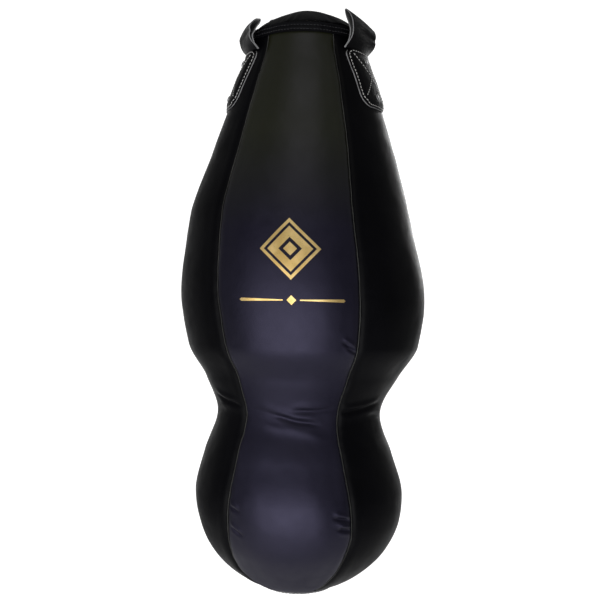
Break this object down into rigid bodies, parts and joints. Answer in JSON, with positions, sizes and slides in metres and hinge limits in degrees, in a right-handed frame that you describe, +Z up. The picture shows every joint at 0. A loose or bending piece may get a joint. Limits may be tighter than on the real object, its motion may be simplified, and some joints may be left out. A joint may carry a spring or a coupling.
{
  "type": "heavy punching bag",
  "caption": "Tall black leather punching bag with a full belly, a drawn-in waist and a round lower bulb, hung by folded strap loops round a zipped, domed top.",
  "frame": {"origin": "middle of the hanging plane, in which the seats of the four strap loops lie", "axes": "+Z up along the bag, +X to the right seen from the front, and the front panel faces -Y"},
  "size_m": [0.5048, 0.5002, 1.2195],
  "materials": {
    "body_leather": "satin",
    "strap_leather": "satin",
    "seam_piping": "satin",
    "padding_felt": "matte",
    "filling_textile": "matte",
    "neck_webbing": "matte",
    "zip_tape": "matte",
    "dark_steel": "satin"
  },
  "bodies": {
    "bag": {"panel_front": "body_leather", "panel_right": "body_leather", "panel_rear_right": "body_leather", "panel_rear_left": "body_leather", "panel_left": "body_leather", "seam_piping_front_right": "seam_piping", "seam_piping_right": "seam_piping", "seam_piping_rear": "seam_piping", "seam_piping_left": "seam_piping", "seam_piping_front_left": "seam_piping", "base_patch": "body_leather", "padding_layer": "padding_felt", "filling": "filling_textile", "neck_band": "neck_webbing", "collar": "body_leather", "lid_front": "body_leather", "lid_rear": "body_leather", "zip_tape_front": "zip_tape", "zip_tape_rear": "zip_tape", "zip_teeth_front": "dark_steel", "zip_teeth_rear": "dark_steel", "zip_stop_left": "dark_steel", "zip_stop_right": "dark_steel", "strap_patch_right": "strap_leather", "strap_patch_rear_right": "strap_leather", "strap_patch_rear_left": "strap_leather", "strap_patch_left": "strap_leather", "strap_tail_right": "strap_leather", "strap_tail_rear_right": "strap_leather", "strap_tail_rear_left": "strap_leather", "strap_tail_left": "strap_leather", "rivet_right_upper": "dark_steel", "rivet_right_lower": "dark_steel", "rivet_rear_right_upper": "dark_steel", "rivet_rear_right_lower": "dark_steel", "rivet_rear_left_upper": "dark_steel", "rivet_rear_left_lower": "dark_steel", "rivet_left_upper": "dark_steel", "rivet_left_lower": "dark_steel", "rivet_burr_right_upper": "dark_steel", "rivet_burr_right_lower": "dark_steel", "rivet_burr_rear_right_upper": "dark_steel", "rivet_burr_rear_right_lower": "dark_steel", "rivet_burr_rear_left_upper": "dark_steel", "rivet_burr_rear_left_lower": "dark_steel", "rivet_burr_left_upper": "dark_steel", "rivet_burr_left_lower": "dark_steel"},
    "loop_right": {"strap_loop_right": "strap_leather"},
    "loop_rear_right": {"strap_loop_rear_right": "strap_leather"},
    "loop_rear_left": {"strap_loop_rear_left": "strap_leather"},
    "loop_left": {"strap_loop_left": "strap_leather"},
    "slider": {"zip_slider": "dark_steel"},
    "pull": {"zip_pull": "dark_steel"}
  },
  "joints": [
    {"name": "loop_swing_right", "type": "hinge", "parent": "bag", "child": "loop_right", "pos_m": [0.11681, -0.03795, -0.06201], "axis": [0.309, 0.9511, 0], "range_deg": [-3, 65], "stiffness_Nm_per_rad": 0.8},
    {"name": "loop_swing_rear_right", "type": "hinge", "parent": "bag", "child": "loop_rear_right", "pos_m": [0.07219, 0.09936, -0.06201], "axis": [-0.809, 0.5878, 0], "range_deg": [-3, 65], "stiffness_Nm_per_rad": 0.8},
    {"name": "loop_swing_rear_left", "type": "hinge", "parent": "bag", "child": "loop_rear_left", "pos_m": [-0.07219, 0.09936, -0.06201], "axis": [-0.809, -0.5878, 0], "range_deg": [-3, 65], "stiffness_Nm_per_rad": 0.8},
    {"name": "loop_swing_left", "type": "hinge", "parent": "bag", "child": "loop_left", "pos_m": [-0.11681, -0.03795, -0.06201], "axis": [0.309, -0.9511, 0], "range_deg": [-3, 65], "stiffness_Nm_per_rad": 0.8},
    {"name": "zip_travel", "type": "hinge", "parent": "bag", "child": "slider", "pos_m": [0, 0, -0.126], "axis": [0, 1, 0], "range_deg": [0, 57.4]},
    {"name": "pull_flip", "type": "hinge", "parent": "slider", "child": "pull", "pos_m": [-0.07562, 0, 0.01512], "axis": [0, -1, 0], "range_deg": [0, 145]}
  ]
}
